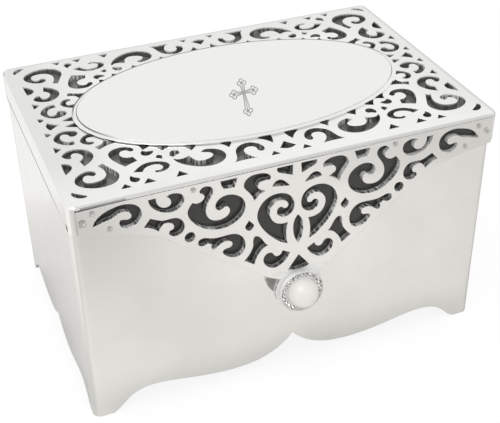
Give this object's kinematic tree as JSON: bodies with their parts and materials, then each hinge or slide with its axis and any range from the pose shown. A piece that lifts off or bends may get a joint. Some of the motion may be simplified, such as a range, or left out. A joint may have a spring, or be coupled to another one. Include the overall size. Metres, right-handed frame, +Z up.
{
  "type": "keepsake box",
  "caption": "Rectangular silver-plated keepsake box on bracket feet, with a hinged lid pierced in scrolls, an oval plaque, and a pierced front flap that ends in a pearl knob.",
  "frame": {"origin": "on the ground under the middle of the whole box, halfway between the pearl and the hinge", "axes": "+X to the right along the front, +Y towards the hinge, +Z up"},
  "size_m": [0.158, 0.1248, 0.0943],
  "materials": {
    "silver": "polished silver plate",
    "plaque_silver": "satin silver plate",
    "gloss_black": "gloss",
    "velvet": "short pile",
    "pearl": "pearl lustre",
    "stones": "cut and foiled",
    "rubber": "matte",
    "board": "painted board"
  },
  "bodies": {
    "box": {"body_shell": "silver", "floor_plate": "board", "floor_pad": "velvet", "lining_front": "velvet", "lining_back": "velvet", "lining_left": "velvet", "lining_right": "velvet", "hinge_body_leaf": "silver", "hinge_body_rivets": "silver", "hinge_pin": "silver"},
    "lid": {"lid_shell": "silver", "front_flap": "silver", "top_backing_sheet": "gloss_black", "flap_backing_sheet": "gloss_black", "lid_liner": "velvet", "oval_plaque": "plaque_silver", "knob_stem": "silver", "knob_washer": "silver", "bezel_cup": "silver", "bezel_stones": "stones", "pearl": "pearl", "lid_bumpers": "rubber", "hinge_lid_leaf": "silver", "hinge_lid_rivets": "silver"}
  },
  "joints": [
    {"name": "lid_hinge", "type": "hinge", "parent": "box", "child": "lid", "pos_m": [0, 0.05803, 0.08235], "axis": [-1, 0, 0], "range_deg": [0, 100]}
  ]
}
